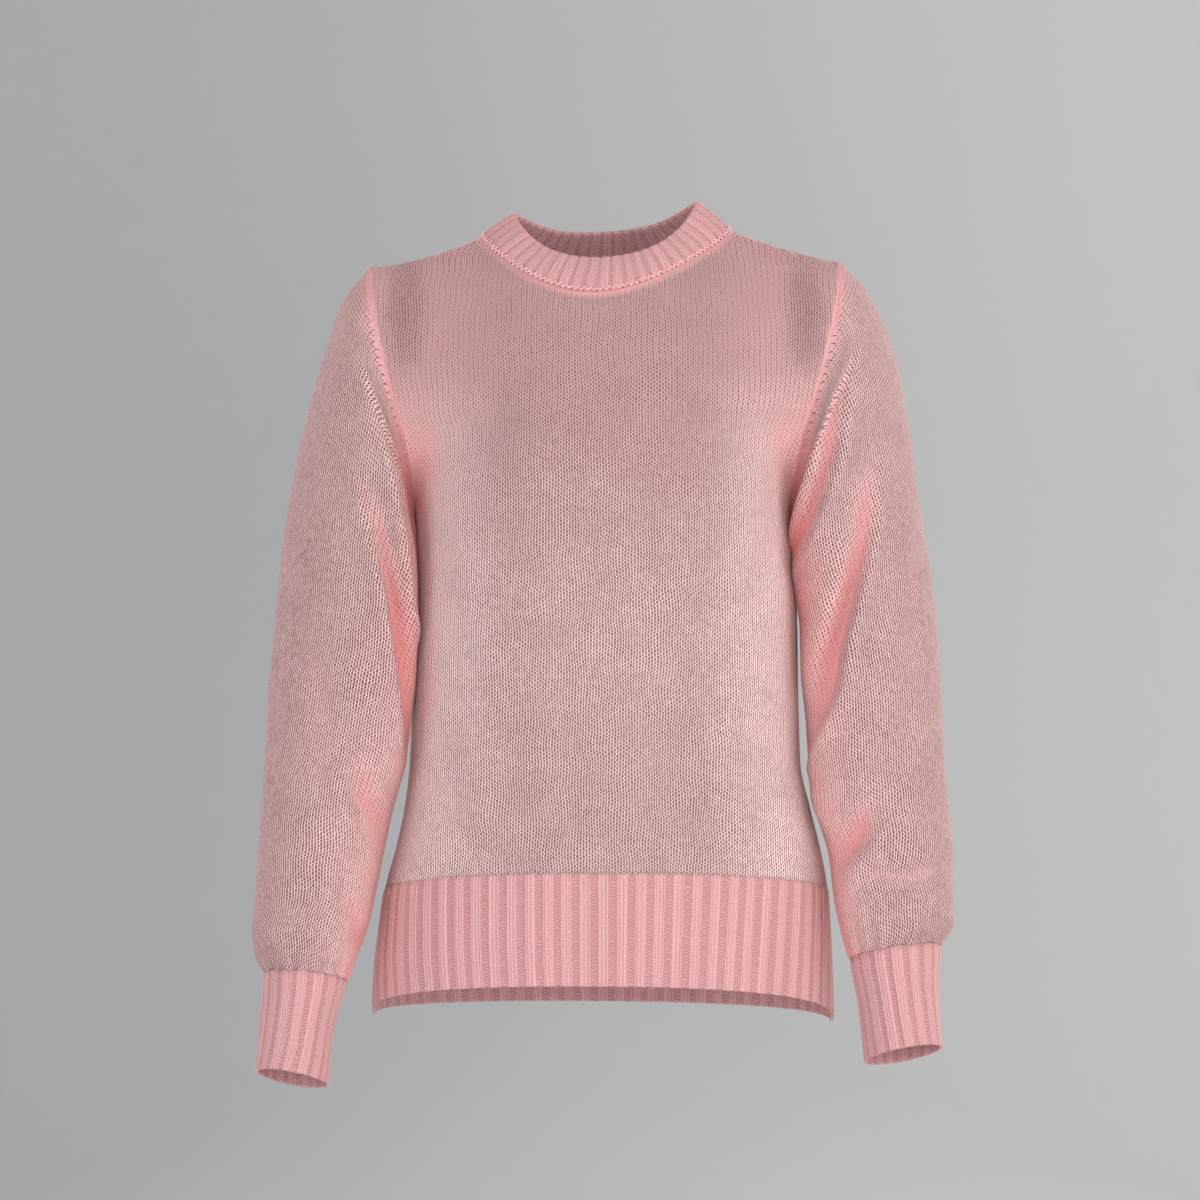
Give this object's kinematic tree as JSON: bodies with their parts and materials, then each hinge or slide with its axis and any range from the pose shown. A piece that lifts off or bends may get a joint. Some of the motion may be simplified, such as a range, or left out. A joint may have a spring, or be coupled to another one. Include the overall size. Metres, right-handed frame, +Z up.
{
  "type": "knitted sweater",
  "caption": "Hollow long-sleeved crew-neck pullover in a loose fine knit, worn pose, with dense ribbed collar, cuffs and hem, front hem arched above the back.",
  "frame": {"origin": "middle of the shoulder line, between the front and back panels, where the wearer's shoulders carry the garment", "axes": "+Z up, the front of the garment faces -Y, +X towards the wearer's left side"},
  "size_m": [0.5248, 0.2351, 0.6689],
  "materials": {
    "body_knit": "loose fine plain knit in a soft pink mohair blend, slightly see-through, matt with a faint nap",
    "rib_knit": "dense pink rib knit, matt with a faint nap"
  },
  "bodies": {
    "root": {"front_panel": "body_knit", "back_panel": "body_knit", "sleeve_right": "body_knit", "sleeve_left": "body_knit", "cuff_right": "rib_knit", "cuff_left": "rib_knit", "front_hem_rib": "rib_knit", "back_hem_rib": "rib_knit", "neck_rib": "rib_knit"}
  },
  "joints": []
}
